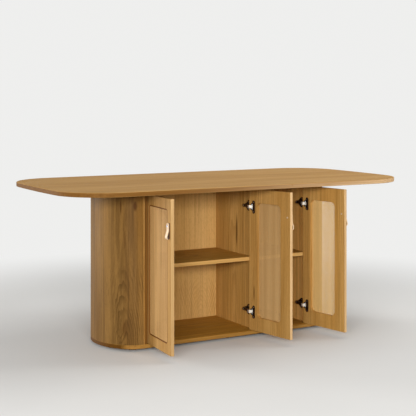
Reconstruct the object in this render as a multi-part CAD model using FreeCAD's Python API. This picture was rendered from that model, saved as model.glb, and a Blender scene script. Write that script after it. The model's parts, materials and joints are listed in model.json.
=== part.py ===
import FreeCAD, Part
import math
import os

# Kitchen table on a round-ended storage cabinet with three woven-panel doors.
# Millimetres, Z up, origin on the floor under the middle of the table.
# X runs along the table, the doors are on the -Y side and stand open.

V = FreeCAD.Vector
UP = V(0, 0, 1)
DOWN = V(0, 0, -1)
RIGHT = V(1, 0, 0)
BACKWARD = V(0, 1, 0)

# Tabletop
TABLE_HEIGHT = 750.0
TOP_LENGTH = 1820.0
TOP_WIDTH = 900.0
TOP_THICK = 20.0
TOP_CORNER_R = 230.0
TOP_END_BOW = 20.0
TOP_ARRIS = 3.0
TOP_UNDER_ARRIS = 2.5

# Cabinet
BASE_DEPTH = 410.0
BAY_SPAN = 896.0
END_REACH = 151.0
END_CORNER_SHARE = 0.8
BOTTOM_THICK = 18.0
CAP_THICK = 16.0
SIDE_THICK = 16.0
PARTITION_THICK = 18.0
BACK_THICK = 16.0
BACK_RECESS = 8.0
SHELL_WALL = 8.0
FORMER_THICK = 18.0
FORMER_CLEARANCE = 0.2
FORMER_HEIGHT_SHARES = (1 / 3, 2 / 3)
BOARD_ARRIS = 1.5
SEAM_CHAMFER = 2.0

# Shelves and their supports
SHELF_THICK = 18.0
SHELF_RISE = 332.0
SHELF_CLEARANCE = 1.0
SUPPORT_PIN_R = 2.5
SUPPORT_PIN_DEPTH = 7.0
SUPPORT_PAD = 10.0
SUPPORT_PAD_THICK = 2.0
SUPPORT_DROP = 3.0
SUPPORT_INSET = 60.0

# Glides under the bottom board
GLIDE_HEIGHT = 12.0
GLIDE_FOOT_R = 20.0
GLIDE_NECK_R = 16.0
GLIDE_SPIGOT_R = 4.0
GLIDE_SPIGOT = 10.0
GLIDE_X_SHARES = (-0.8, 0.0, 0.8)
GLIDE_Y_SHARES = (-0.7, 0.0, 0.7)

# Wood screws: head radius, head height, shank radius, length
TABLE_SCREW = (4.0, 3.0, 2.0, 28.0)
CARCASS_SCREW = (4.5, 3.5, 2.5, 50.0)
SMALL_SCREW = (3.0, 1.8, 1.5, 10.0)
SCREW_CLEARANCE = 0.1
TABLE_SCREW_X_SHARES = (-0.9, -0.4, 0.15, 0.9)
TABLE_SCREW_Y_SHARES = (-0.75, 0.75)
CARCASS_SCREW_Y_SHARES = (-0.6, 0.6)

# Doors
DOOR_THICK = 16.5
DOOR_END_GAP = 2.0
DOOR_ARRIS = 3.0
FRONT_STILE = 36.0
FRONT_RAIL = 46.0
HINGE_STILE = 55.0
FREE_STILE = 66.0
BACK_RAIL = 66.0
FRONT_PANEL_R = 14.0
OPENING_R = 24.0
PANEL_RECESS = 2.2
PANEL_THICK = 1.2
BEAD_WIDTH = 5.0
BEAD_THICK = 1.4
PANEL_CLEARANCE = 0.2
LEFT_OPEN_ANGLE = 94.7
MIDDLE_OPEN_ANGLE = 99.0
RIGHT_OPEN_ANGLE = 98.6

# Concealed hinges, two on each door
HINGE_INSET = 88.0
PIN_FROM_EDGE = 13.0
PIN_FROM_FRONT = 10.5
PIN_R = 1.5
PIN_FIT = 0.05
EYE_R = 3.5
EYE_CLEARANCE = 0.5
CUP_R = 17.5
CUP_FROM_EDGE = 4.5
CUP_WALL = 0.8
CUP_FIT = 0.05
FLANGE_LENGTH = 62.0
FLANGE_WIDTH = 18.0
FLANGE_THICK = 1.4
FLANGE_OFFSET = 9.5
FLANGE_SCREW_SPAN = 45.0
NECK_REACH = 13.0
NECK_RISE = 4.7
ARM_THICK = 2.4
ARM_WIDTH = 14.0
ARM_WALL = 1.4
ARM_LENGTH = 72.0
ARM_TIP_R = 5.0
ARM_SCREW_INSET = 8.0
PLATE_THICK = 3.0
PLATE_BAR = 18.0
PLATE_LEAD = 14.0
PLATE_TAIL = 36.0
BOSS_HEIGHT = 9.6
BOSS_CLEARANCE = 0.3
WING_SPAN = 50.0
WING_WIDTH = 13.0
WING_TIP_R = 4.0
WING_TAPER = 20.0
WING_INSET = 34.0
WING_SCREW_SPAN = 34.0
SWING_CLEARANCE = 0.5
ARM_SWING_CLEARANCE = 0.8

# Leather loop pulls
PULL_FROM_FREE_EDGE = 18.5
PULL_SCREW_DROP = 117.0
PULL_ABOVE_SCREW = 12.0
PULL_BELOW_SCREW = 58.0
PULL_WIDTH = 20.0
PULL_BULGE = 16.0
PULL_FLAT = 32.0
LEATHER_THICK = 4.0
STUD_R = 5.0
STUD_HEIGHT = 3.0
STUD_DOME = 1.2
PULL_SCREW_R = 2.0
PULL_SCREW_HEAD_R = 4.0
PULL_SCREW_HEAD = 2.0
PULL_SCREW_BITE = 1.6
PULL_FIT = 0.1

# Cuts run past the surfaces, and edges are picked by place
OVERRUN = 5.0
PICK_TOLERANCE = 0.1

# Sizes that follow from the ones above
FRONT = -BASE_DEPTH / 2
REAR = BASE_DEPTH / 2
BAY_LEFT = -BAY_SPAN / 2
BAY_RIGHT = BAY_SPAN / 2
SEAM = BAY_RIGHT + SIDE_THICK
BASE_HALF_LENGTH = SEAM + END_REACH
END_CORNER_R = END_CORNER_SHARE * END_REACH
BASE_END_R = (END_REACH ** 2 + REAR ** 2 - 2 * REAR * END_CORNER_R) / (2 * (END_REACH - END_CORNER_R))
FLOOR_Z = GLIDE_HEIGHT + BOTTOM_THICK
TOP_Z = TABLE_HEIGHT - TOP_THICK
CAP_Z = TOP_Z - CAP_THICK
BACK_FACE = REAR - BACK_RECESS - BACK_THICK
ROUND_PIN_REACH = math.hypot(PIN_FROM_EDGE - DOOR_ARRIS, PIN_FROM_FRONT - DOOR_ARRIS) + DOOR_ARRIS
DOOR_GAP = ROUND_PIN_REACH - PIN_FROM_EDGE + SWING_CLEARANCE
DOOR_WIDTH = (BAY_SPAN - PARTITION_THICK - 5 * DOOR_GAP) / 3
DOOR_Z = FLOOR_Z + DOOR_END_GAP
DOOR_HEIGHT = CAP_Z - DOOR_END_GAP - DOOR_Z
PARTITION_LEFT = BAY_LEFT + 2 * DOOR_WIDTH + 3 * DOOR_GAP
PARTITION_RIGHT = PARTITION_LEFT + PARTITION_THICK
CORNER_REACH = math.hypot(PIN_FROM_EDGE, PIN_FROM_FRONT)
SHELF_SETBACK = PIN_FROM_FRONT + CORNER_REACH + ARM_SWING_CLEARANCE
SHELF_Z = FLOOR_Z + SHELF_RISE
CUP_DEPTH = DOOR_THICK - PIN_FROM_FRONT + EYE_R + EYE_CLEARANCE + CUP_WALL
CUP_CENTRE = CUP_FROM_EDGE + CUP_R
CROSSING = CORNER_REACH + ARM_THICK / 2 + ARM_SWING_CLEARANCE
REBATE_DEPTH = PANEL_RECESS + PANEL_THICK
HINGE_HEIGHTS = (HINGE_INSET, DOOR_HEIGHT - HINGE_INSET)
PULL_X = DOOR_WIDTH - PULL_FROM_FREE_EDGE
PULL_Z = DOOR_HEIGHT - PULL_SCREW_DROP


def box(low, high):
    return Part.makeBox(high[0] - low[0], high[1] - low[1], high[2] - low[2], V(*low))


def rod(radius, start, direction, length):
    return Part.makeCylinder(radius, length, start, direction)


def fused(shapes):
    whole = shapes[0].multiFuse(shapes[1:]) if len(shapes) > 1 else shapes[0]
    return whole.removeSplitter()


def level_edges(shape, z):
    """Edges of a shape that lie flat at one height."""
    return [e for e in shape.Edges if abs(e.BoundBox.ZMin - z) < PICK_TOLERANCE
            and abs(e.BoundBox.ZMax - z) < PICK_TOLERANCE]


def export(name, shapes):
    solids = shapes if isinstance(shapes, list) else [shapes]
    shape = solids[0] if len(solids) == 1 else Part.makeCompound(solids)
    shape.exportStep("parts/" + name + ".step")


# Outlines

def end_edges(sign, half_length, half_width, corner_r, end_r):
    """Corner arc, bowed end arc and corner arc of one end, and where the straight sides begin."""
    end_x = half_length - end_r
    corner_y = half_width - corner_r
    corner_x = end_x + math.sqrt((end_r - corner_r) ** 2 - corner_y ** 2)
    turn = math.atan2(corner_y, corner_x - end_x)

    def on_corner(angle, side):
        return V(sign * (corner_x + corner_r * math.cos(angle)), side * (corner_y + corner_r * math.sin(angle)), 0)

    def corner(side):
        angles = (turn, (turn + math.pi / 2) / 2, math.pi / 2)
        return Part.Arc(*[on_corner(angle, side) for angle in angles]).toShape()

    end = Part.Arc(on_corner(turn, -1), V(sign * half_length, 0, 0), on_corner(turn, 1)).toShape()
    return [corner(-1), end, corner(1)], corner_x


def bow_ended_face(half_length, half_width, corner_r, end_r):
    """Straight long sides, round corners and bowed ends."""
    left, side_x = end_edges(-1, half_length, half_width, corner_r, end_r)
    right, side_x = end_edges(1, half_length, half_width, corner_r, end_r)
    sides = [Part.makeLine(V(-side_x, side * half_width, 0), V(side_x, side * half_width, 0)) for side in (-1, 1)]
    return Part.Face(Part.Wire(Part.__sortEdges__(left + right + sides)))


def base_face():
    return bow_ended_face(BASE_HALF_LENGTH, BASE_DEPTH / 2, END_CORNER_R, BASE_END_R)


def end_face(sign, inset):
    """Face inside one rounded end of the cabinet, drawn in from the outside by an inset."""
    half_depth = BASE_DEPTH / 2 - inset
    edges, seam = end_edges(sign, BASE_HALF_LENGTH - inset, half_depth, END_CORNER_R - inset, BASE_END_R - inset)
    chord = Part.makeLine(V(sign * seam, -half_depth, 0), V(sign * seam, half_depth, 0))
    return Part.Face(Part.Wire(Part.__sortEdges__(edges + [chord])))


def slab(face, z, thick):
    lifted = face.copy()
    lifted.translate(V(0, 0, z))
    return lifted.extrude(V(0, 0, thick))


def rounded_panel(x0, x1, z0, z1, radius, y0, y1):
    """Upright rounded rectangle between two depths."""
    panel = box((x0, y0, z0), (x1, y1, z1))
    uprights = [e for e in panel.Edges if e.BoundBox.YLength > (y1 - y0) / 2]
    return panel.makeFillet(radius, uprights)


# Fasteners

def screw(sizes, head, direction, grow=0.0):
    """Countersunk wood screw: its head face is at the given point, its shank runs along the direction."""
    head_r, head_h, shank_r, length = sizes
    cone = Part.makeCone(head_r + grow, shank_r + grow, head_h, head, direction)
    return fused([cone, rod(shank_r + grow, head, direction, length + grow)])


def screw_hole(sizes, head, direction):
    sink = rod(sizes[0] + SCREW_CLEARANCE, head, direction * -1, OVERRUN)
    return fused([screw(sizes, head, direction, SCREW_CLEARANCE), sink])


# Hinges, drawn for a door that is hinged on its left and closed:
# x from the hinge edge, y from the front face, z from the door's lower edge

def cup_bore(z):
    return rod(CUP_R, V(CUP_CENTRE, DOOR_THICK - CUP_DEPTH, z), BACKWARD, CUP_DEPTH + OVERRUN)


def hinge_pin(z):
    chord = math.sqrt((CUP_R - CUP_FIT) ** 2 - (CUP_CENTRE - PIN_FROM_EDGE + PIN_R) ** 2) - CUP_FIT
    start = V(PIN_FROM_EDGE, PIN_FROM_FRONT, z - chord)
    return rod(PIN_R, start, UP, 2 * chord)


def flange_screw_heads(z):
    y = DOOR_THICK + FLANGE_THICK
    return [V(CUP_CENTRE + FLANGE_OFFSET, y, z + side * FLANGE_SCREW_SPAN / 2) for side in (-1, 1)]


def hinge_cup(z):
    """Pressed cup with a long screw flange on the door's inner face, set away from the hinge edge."""
    y0, y1 = DOOR_THICK - CUP_DEPTH, DOOR_THICK + FLANGE_THICK
    body = rod(CUP_R - CUP_FIT, V(CUP_CENTRE, y0, z), BACKWARD, CUP_DEPTH)
    middle = CUP_CENTRE + FLANGE_OFFSET
    half_w, half_l = FLANGE_WIDTH / 2, FLANGE_LENGTH / 2
    flange = rounded_panel(middle - half_w, middle + half_w, z - half_l, z + half_l,
                           half_w - CUP_WALL, DOOR_THICK, y1)
    hollow = rod(CUP_R - CUP_FIT - CUP_WALL, V(CUP_CENTRE, y0 + CUP_WALL, z), BACKWARD, CUP_DEPTH + OVERRUN)
    cup = fused([body, flange]).cut(hollow).cut(hinge_pin(z))
    for head in flange_screw_heads(z):
        cup = cup.cut(screw_hole(SMALL_SCREW, head, BACKWARD * -1))
    return cup


def hinge_link(z):
    """Bent link: an eye on the pin and a neck that leaves the cup and meets the arm's front wall."""
    route = [V(0, 0, 0), V(NECK_REACH, NECK_RISE, 0), V(NECK_REACH, CROSSING, 0)]
    outline = Part.makePolygon(route).makeOffset2D(ARM_THICK / 2, 0, False, False, False)
    strap = Part.Face(outline).extrude(V(0, 0, ARM_WIDTH))
    eye = rod(EYE_R, V(0, 0, 0), UP, ARM_WIDTH)
    bore = rod(PIN_R + PIN_FIT, V(0, 0, -OVERRUN), UP, ARM_WIDTH + 2 * OVERRUN)
    link = fused([strap, eye]).cut(bore)
    link.translate(V(PIN_FROM_EDGE, PIN_FROM_FRONT, z - ARM_WIDTH / 2))
    x0, x1 = PIN_FROM_EDGE + NECK_REACH - ARM_THICK, PIN_FROM_EDGE + NECK_REACH + ARM_THICK
    return link.cut(box((x0, arm_start(), z - ARM_WIDTH), (x1, arm_start() + ARM_LENGTH, z + ARM_WIDTH)))


def arm_start():
    return PIN_FROM_FRONT + CROSSING - ARM_THICK / 2


def arm_screw_head(z):
    x = -DOOR_GAP + PLATE_THICK + BOSS_HEIGHT + ARM_THICK
    return V(x, arm_start() + ARM_LENGTH - ARM_SCREW_INSET, z)


def hinge_arm(z):
    """Channel-shaped arm: a front wall that takes the link, a web over the plate's boss and two side walls."""
    half = ARM_WIDTH / 2
    front, rear = arm_start(), arm_start() + ARM_LENGTH
    low = -DOOR_GAP + PLATE_THICK + BOSS_CLEARANCE
    web_x = -DOOR_GAP + PLATE_THICK + BOSS_HEIGHT
    web = box((web_x, front, z - half), (web_x + ARM_THICK, rear, z + half))
    tips = [e for e in web.Edges if e.BoundBox.YMin > rear - ARM_TIP_R and e.BoundBox.ZLength < half
            and e.BoundBox.XLength > ARM_THICK / 2]
    neck_x = PIN_FROM_EDGE + NECK_REACH + ARM_THICK / 2
    wall = box((low, front, z - half), (neck_x, front + ARM_THICK, z + half))
    sides = [box((low, front, z + side * (half - ARM_WALL / 2) - ARM_WALL / 2),
                 (web_x + ARM_THICK / 2, rear - ARM_TIP_R, z + side * (half - ARM_WALL / 2) + ARM_WALL / 2))
             for side in (-1, 1)]
    arm = fused([web.makeFillet(ARM_TIP_R, tips), wall] + sides)
    return arm.cut(screw_hole(SMALL_SCREW, arm_screw_head(z), RIGHT * -1))


def wing_screw_heads(z):
    y = arm_start() + WING_INSET
    return [V(-DOOR_GAP + PLATE_THICK, y, z + side * WING_SCREW_SPAN / 2) for side in (-1, 1)]


def hinge_plate(z):
    """Winged mounting plate on the upright that carries the door, with a boss that fills the arm's channel."""
    x0, x1 = -DOOR_GAP, -DOOR_GAP + PLATE_THICK
    middle = arm_start() + WING_INSET
    front, rear = middle - PLATE_LEAD, middle + PLATE_TAIL
    lead, trail = middle - WING_WIDTH / 2, middle + WING_WIDTH / 2
    bar, span = PLATE_BAR / 2, WING_SPAN / 2
    upper = [(front, bar), (lead, bar), (lead, span), (trail, span), (trail + WING_TAPER, bar), (rear, bar)]
    outline = upper + [(y, -rise) for y, rise in reversed(upper)]
    corners = [V(x0, y, z + rise) for y, rise in outline]
    base = Part.Face(Part.makePolygon(corners + corners[:1])).extrude(RIGHT * PLATE_THICK)
    tips = [e for e in base.Edges if e.BoundBox.XLength > PLATE_THICK / 2
            and abs(abs(e.CenterOfMass.z - z) - span) < PICK_TOLERANCE]
    boss = ARM_WIDTH / 2 - ARM_WALL - BOSS_CLEARANCE
    bridge = box((x1, front, z - boss), (x1 + BOSS_HEIGHT, rear, z + boss))
    plate = fused([base.makeFillet(WING_TIP_R, tips), bridge])
    for head in wing_screw_heads(z) + [arm_screw_head(z)]:
        plate = plate.cut(screw_hole(SMALL_SCREW, head, RIGHT * -1))
    return plate


def hinge_plate_screws(z):
    return [screw(SMALL_SCREW, head, RIGHT * -1) for head in wing_screw_heads(z) + [arm_screw_head(z)]]


# Doors, drawn the same way

def door_frame():
    """One-piece frame: rebate for the woven panel in front, smaller opening behind, hinge and pull bores."""
    frame = box((0, 0, 0), (DOOR_WIDTH, DOOR_THICK, DOOR_HEIGHT))
    front_edges = [e for e in frame.Edges if e.BoundBox.YMax < DOOR_THICK / 2]
    frame = frame.makeFillet(DOOR_ARRIS, front_edges)
    rebate = rounded_panel(FRONT_STILE, DOOR_WIDTH - FRONT_STILE, FRONT_RAIL, DOOR_HEIGHT - FRONT_RAIL,
                           FRONT_PANEL_R, -OVERRUN, REBATE_DEPTH)
    opening = rounded_panel(HINGE_STILE, DOOR_WIDTH - FREE_STILE, BACK_RAIL, DOOR_HEIGHT - BACK_RAIL,
                            OPENING_R, -OVERRUN, DOOR_THICK + OVERRUN)
    frame = frame.cut(rebate).cut(opening)
    for z in HINGE_HEIGHTS:
        frame = frame.cut(cup_bore(z))
        for head in flange_screw_heads(z):
            frame = frame.cut(screw_hole(SMALL_SCREW, head, BACKWARD * -1))
    return frame.cut(rod(PULL_SCREW_R + PULL_FIT, V(PULL_X, -OVERRUN, PULL_Z), BACKWARD, DOOR_THICK + 2 * OVERRUN))


def panel_shape(inset, y0, y1):
    low, high = FRONT_STILE + inset, DOOR_WIDTH - FRONT_STILE - inset
    return rounded_panel(low, high, FRONT_RAIL + inset, DOOR_HEIGHT - FRONT_RAIL - inset,
                         FRONT_PANEL_R - inset, y0, y1)


def door_bead():
    """Slim bead that holds the woven panel in its rebate."""
    y0 = PANEL_RECESS - BEAD_THICK
    outside = panel_shape(PANEL_CLEARANCE, y0, PANEL_RECESS)
    return outside.cut(panel_shape(BEAD_WIDTH, y0 - OVERRUN, PANEL_RECESS + OVERRUN))


def pull_loop():
    """Folded leather strap: two layers meet under the stud, the fold swells into a loop below."""
    fold_r = PULL_BULGE / 2
    bore_r = fold_r - LEATHER_THICK
    top, low = PULL_Z + PULL_ABOVE_SCREW, PULL_Z - PULL_BELOW_SCREW
    fold_z = low + fold_r
    merge_z = top - PULL_FLAT
    slope = math.atan2(PULL_BULGE - 2 * LEATHER_THICK, merge_z - fold_z)

    def at(out, z):
        return V(PULL_X - PULL_WIDTH / 2, -out, z)

    def ring(radius, start, tip):
        side = at(fold_r + radius * math.cos(slope), fold_z + radius * math.sin(slope))
        arc = Part.Arc(side, at(fold_r, fold_z - radius), at(fold_r - radius, fold_z)).toShape()
        up = Part.makeLine(at(fold_r - radius, fold_z), start)
        down = Part.makeLine(tip, side)
        return arc, up, down

    arc, up, down = ring(fold_r, at(0, top), at(2 * LEATHER_THICK, merge_z))
    cap = Part.makeLine(at(0, top), at(2 * LEATHER_THICK, top))
    flat = Part.makeLine(at(2 * LEATHER_THICK, top), at(2 * LEATHER_THICK, merge_z))
    outside = Part.Face(Part.Wire(Part.__sortEdges__([arc, up, cap, flat, down])))
    meet = at(LEATHER_THICK, merge_z)
    inside = Part.Face(Part.Wire(Part.__sortEdges__(list(ring(bore_r, meet, meet)))))
    strap = outside.cut(inside).extrude(RIGHT * PULL_WIDTH)
    hole = rod(PULL_SCREW_R + PULL_FIT, V(PULL_X, OVERRUN, PULL_Z), BACKWARD * -1, PULL_BULGE + 2 * OVERRUN)
    return strap.cut(hole)


def pull_stud():
    """Low domed stud that clamps the strap, with a blind hole for the screw from inside."""
    base = V(PULL_X, -2 * LEATHER_THICK, PULL_Z)
    body = rod(STUD_R, base, BACKWARD * -1, STUD_HEIGHT)
    rim = [e for e in body.Edges if e.BoundBox.YMax < base.y - STUD_HEIGHT / 2]
    hole = rod(PULL_SCREW_R + PULL_FIT, base + BACKWARD * OVERRUN, BACKWARD * -1, OVERRUN + PULL_SCREW_BITE + PULL_FIT)
    return body.makeFillet(STUD_DOME, rim).cut(hole)


def pull_screw():
    length = DOOR_THICK + 2 * LEATHER_THICK + PULL_SCREW_BITE
    head = rod(PULL_SCREW_HEAD_R, V(PULL_X, DOOR_THICK, PULL_Z), BACKWARD, PULL_SCREW_HEAD)
    shank = rod(PULL_SCREW_R, V(PULL_X, DOOR_THICK, PULL_Z), BACKWARD * -1, length)
    return fused([head, shank])


def placed(shape, hand, hinge_x, angle=0.0):
    """Moves a piece from the door's own place to the cabinet, mirrored for a right-hand door, and swings it open."""
    piece = shape.copy() if hand > 0 else shape.mirror(V(0, 0, 0), RIGHT)
    piece.translate(V(hinge_x + hand * DOOR_GAP, FRONT, DOOR_Z))
    pin = V(hinge_x + hand * (DOOR_GAP + PIN_FROM_EDGE), FRONT + PIN_FROM_FRONT, 0)
    piece.rotate(pin, UP, -hand * angle)
    return piece


# Doors: name, hand, upright face that carries the hinges, angle at rest
DOORS = (("left", 1, BAY_LEFT, LEFT_OPEN_ANGLE),
         ("middle", -1, PARTITION_LEFT, MIDDLE_OPEN_ANGLE),
         ("right", -1, BAY_RIGHT, RIGHT_OPEN_ANGLE))


def export_door(name, hand, hinge_x, angle):
    def swung(shapes):
        return [placed(shape, hand, hinge_x, angle) for shape in shapes]

    def fixed(shapes):
        return [placed(shape, hand, hinge_x) for shape in shapes]

    heads = [head for z in HINGE_HEIGHTS for head in flange_screw_heads(z)]
    export(name + "_door_frame", swung([door_frame()]))
    export(name + "_door_weave", swung([panel_shape(PANEL_CLEARANCE, PANEL_RECESS, REBATE_DEPTH)]))
    export(name + "_door_bead", swung([door_bead()]))
    export(name + "_hinge_cups", swung([hinge_cup(z) for z in HINGE_HEIGHTS]))
    export(name + "_hinge_pins", swung([hinge_pin(z) for z in HINGE_HEIGHTS]))
    export(name + "_cup_screws", swung([screw(SMALL_SCREW, head, BACKWARD * -1) for head in heads]))
    export(name + "_pull_loop", swung([pull_loop()]))
    export(name + "_pull_stud", swung([pull_stud()]))
    export(name + "_pull_screw", swung([pull_screw()]))
    export(name + "_hinge_links", fixed([hinge_link(z) for z in HINGE_HEIGHTS]))
    export(name + "_hinge_arms", fixed([hinge_arm(z) for z in HINGE_HEIGHTS]))
    export(name + "_hinge_plates", fixed([hinge_plate(z) for z in HINGE_HEIGHTS]))
    export(name + "_plate_screws", fixed([s for z in HINGE_HEIGHTS for s in hinge_plate_screws(z)]))


def drill_plate_screws(panel, hand, hinge_x):
    """Pilot holes of the hinge plates in the upright that carries a door."""
    for z in HINGE_HEIGHTS:
        for head in wing_screw_heads(z):
            panel = panel.cut(placed(screw_hole(SMALL_SCREW, head, RIGHT * -1), hand, hinge_x))
    return panel


# Shelf supports: a pin in the upright and a flat pad under the shelf

def support_places():
    front = FRONT + SHELF_SETBACK + SUPPORT_INSET
    rear = BACK_FACE - SUPPORT_INSET
    walls = ((BAY_LEFT, 1), (PARTITION_LEFT, -1), (PARTITION_RIGHT, 1), (BAY_RIGHT, -1))
    return [(x, into, y) for x, into in walls for y in (front, rear)]


def support_pin(x, into, y, grow=0.0):
    z = SHELF_Z - SUPPORT_PAD_THICK - SUPPORT_DROP
    return rod(SUPPORT_PIN_R + grow, V(x, y, z), RIGHT * -into, SUPPORT_PIN_DEPTH + grow)


def shelf_support(x, into, y):
    """Pad with a web that runs down past the pin."""
    half = SUPPORT_PAD / 2
    edge = x + into * SUPPORT_PAD
    inner = x + into * SUPPORT_PAD_THICK
    pad = box((min(x, edge), y - half, SHELF_Z - SUPPORT_PAD_THICK), (max(x, edge), y + half, SHELF_Z))
    low = SHELF_Z - SUPPORT_PAD_THICK - 2 * SUPPORT_DROP
    web = box((min(x, inner), y - half, low), (max(x, inner), y + half, SHELF_Z))
    return fused([pad, web, support_pin(x, into, y)])


def drill_supports(panel):
    for x, into, y in support_places():
        panel = panel.cut(support_pin(x, into, y, SCREW_CLEARANCE))
    return panel


# Carcass screws run from the two boards into the uprights

def upright_middles():
    side = BAY_RIGHT + SIDE_THICK / 2
    return (-side, (PARTITION_LEFT + PARTITION_RIGHT) / 2, side)


def carcass_screw_places():
    spots = [(x, share * BACK_FACE) for x in upright_middles() for share in CARCASS_SCREW_Y_SHARES]
    low = [(V(x, y, GLIDE_HEIGHT), UP) for x, y in spots]
    high = [(V(x, y, TOP_Z), DOWN) for x, y in spots]
    return low + high


def drill_carcass(board):
    for head, direction in carcass_screw_places():
        board = board.cut(screw_hole(CARCASS_SCREW, head, direction))
    return board


def table_screw_places():
    return [V(sx * SEAM, sy * BASE_DEPTH / 2, CAP_Z) for sx in TABLE_SCREW_X_SHARES for sy in TABLE_SCREW_Y_SHARES]


def drill_table(board):
    for head in table_screw_places():
        board = board.cut(screw_hole(TABLE_SCREW, head, UP))
    return board


# Glides

def glide_places():
    rows = [(sx * BASE_HALF_LENGTH, sy * BASE_DEPTH / 2) for sx in GLIDE_X_SHARES for sy in GLIDE_Y_SHARES]
    return [(x, y) for x, y in rows if x == 0 or y != 0]


def glide(x, y):
    foot = Part.makeCone(GLIDE_FOOT_R, GLIDE_NECK_R, GLIDE_HEIGHT, V(x, y, 0), UP)
    return fused([foot, rod(GLIDE_SPIGOT_R, V(x, y, GLIDE_HEIGHT), UP, GLIDE_SPIGOT)])


def drill_glides(board):
    for x, y in glide_places():
        hole = rod(GLIDE_SPIGOT_R + SCREW_CLEARANCE, V(x, y, GLIDE_HEIGHT - OVERRUN), UP,
                   OVERRUN + GLIDE_SPIGOT + SCREW_CLEARANCE)
        board = board.cut(hole)
    return board


# Tabletop and the boards under it

def tabletop():
    half_width = TOP_WIDTH / 2
    end_r = (half_width ** 2 + TOP_END_BOW ** 2) / (2 * TOP_END_BOW)
    top = slab(bow_ended_face(TOP_LENGTH / 2, half_width, TOP_CORNER_R, end_r), TOP_Z, TOP_THICK)
    top = top.makeFillet(TOP_ARRIS, level_edges(top, TABLE_HEIGHT))
    top = top.makeFillet(TOP_UNDER_ARRIS, level_edges(top, TOP_Z))
    return drill_table(top)


def bottom_board():
    board = slab(base_face(), GLIDE_HEIGHT, BOTTOM_THICK)
    board = board.makeFillet(BOARD_ARRIS, level_edges(board, GLIDE_HEIGHT) + level_edges(board, FLOOR_Z))
    return drill_glides(drill_carcass(board))


def cap_board():
    board = slab(base_face(), CAP_Z, CAP_THICK)
    return drill_table(drill_carcass(board))


def side_panel(sign):
    """Upright at one end of the bays, chamfered where the rounded end meets it."""
    x0, x1 = (BAY_RIGHT, SEAM) if sign > 0 else (-SEAM, BAY_LEFT)
    panel = box((x0, FRONT, FLOOR_Z), (x1, REAR, CAP_Z))
    seams = [e for e in panel.Edges if e.BoundBox.ZLength > SEAM_CHAMFER
             and abs(e.BoundBox.XMin - sign * SEAM) < PICK_TOLERANCE and e.BoundBox.YLength < SEAM_CHAMFER]
    panel = drill_supports(drill_carcass(panel.makeChamfer(SEAM_CHAMFER, seams)))
    hand, hinge_x = (-1, BAY_RIGHT) if sign > 0 else (1, BAY_LEFT)
    return drill_plate_screws(panel, hand, hinge_x)


def partition():
    panel = box((PARTITION_LEFT, FRONT, FLOOR_Z), (PARTITION_RIGHT, BACK_FACE, CAP_Z))
    return drill_plate_screws(drill_supports(drill_carcass(panel)), -1, PARTITION_LEFT)


def back_panel():
    return box((BAY_LEFT, BACK_FACE, FLOOR_Z), (BAY_RIGHT, BACK_FACE + BACK_THICK, CAP_Z))


def shelf(x0, x1):
    front = FRONT + SHELF_SETBACK
    board = box((x0 + SHELF_CLEARANCE, front, SHELF_Z),
                (x1 - SHELF_CLEARANCE, BACK_FACE - SHELF_CLEARANCE, SHELF_Z + SHELF_THICK))
    nose = [e for e in board.Edges if e.BoundBox.YMax < front + BOARD_ARRIS and e.BoundBox.XLength > SHELF_THICK]
    return board.makeFillet(BOARD_ARRIS, nose)


def end_shell(sign):
    """Bent wall of one rounded end, between the two boards."""
    height = CAP_Z - FLOOR_Z
    shell = slab(end_face(sign, 0.0), FLOOR_Z, height).cut(slab(end_face(sign, SHELL_WALL), FLOOR_Z, height))
    lips = [e for e in shell.Edges if e.BoundBox.ZLength > SEAM_CHAMFER and abs(e.BoundBox.XMin - sign * SEAM)
            < PICK_TOLERANCE and abs(e.BoundBox.YMin) > REAR - SHELL_WALL / 2 and e.BoundBox.YLength < SEAM_CHAMFER]
    return shell.makeChamfer(SEAM_CHAMFER, lips)


def end_formers(sign):
    """Flat ribs that keep the bent wall in shape."""
    face = end_face(sign, SHELL_WALL + FORMER_CLEARANCE)
    heights = [FLOOR_Z + share * (CAP_Z - FLOOR_Z) for share in FORMER_HEIGHT_SHARES]
    return [slab(face, z - FORMER_THICK / 2, FORMER_THICK) for z in heights]


os.makedirs("parts", exist_ok=True)
export("tabletop", tabletop())
export("top_board", cap_board())
export("bottom_board", bottom_board())
export("partition", partition())
export("back_panel", back_panel())
export("left_shelf", shelf(BAY_LEFT, PARTITION_LEFT))
export("right_shelf", shelf(PARTITION_RIGHT, BAY_RIGHT))
export("shelf_supports", [shelf_support(*place) for place in support_places()])
export("carcass_screws", [screw(CARCASS_SCREW, head, direction) for head, direction in carcass_screw_places()])
export("table_screws", [screw(TABLE_SCREW, head, UP) for head in table_screw_places()])
export("glides", [glide(x, y) for x, y in glide_places()])
for side_name, side_sign in (("left", -1), ("right", 1)):
    export(side_name + "_side_panel", side_panel(side_sign))
    export(side_name + "_end_shell", end_shell(side_sign))
    export(side_name + "_end_formers", end_formers(side_sign))
for door in DOORS:
    export_door(*door)
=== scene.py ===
import bpy
import json
import math
import random
from typing import NamedTuple
from mathutils import Matrix, Vector


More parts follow.
